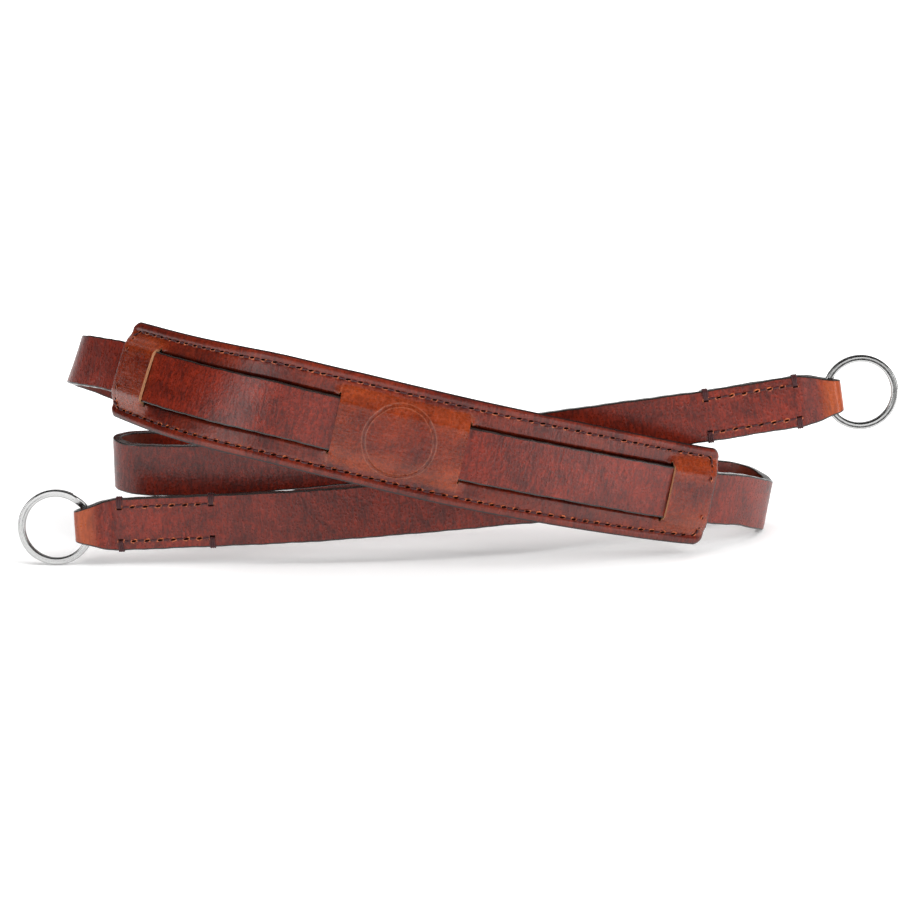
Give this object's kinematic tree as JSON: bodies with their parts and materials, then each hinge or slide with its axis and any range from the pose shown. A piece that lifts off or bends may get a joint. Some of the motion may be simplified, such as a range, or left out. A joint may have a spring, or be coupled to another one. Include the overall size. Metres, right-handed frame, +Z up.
{
  "type": "camera neck strap",
  "caption": "Leather camera neck strap with a stitched shoulder pad and a steel split ring at each end, lying on its edges in a flat cross.",
  "frame": {"origin": "middle of the laid strap's footprint, on the surface that it lies on", "axes": "+X along the laid strap from the lower ring to the raised one, +Y away from the viewer, +Z up"},
  "size_m": [0.2521, 0.082, 0.0642],
  "materials": {
    "band_leather": "satin",
    "pad_leather": "satin",
    "back_leather": "matte",
    "ring_steel": "polished",
    "thread": "matte"
  },
  "bodies": {
    "root": {"strap_band": "band_leather", "pad_top": "pad_leather", "pad_back": "back_leather", "ring_left": "ring_steel", "ring_right": "ring_steel"}
  },
  "joints": []
}
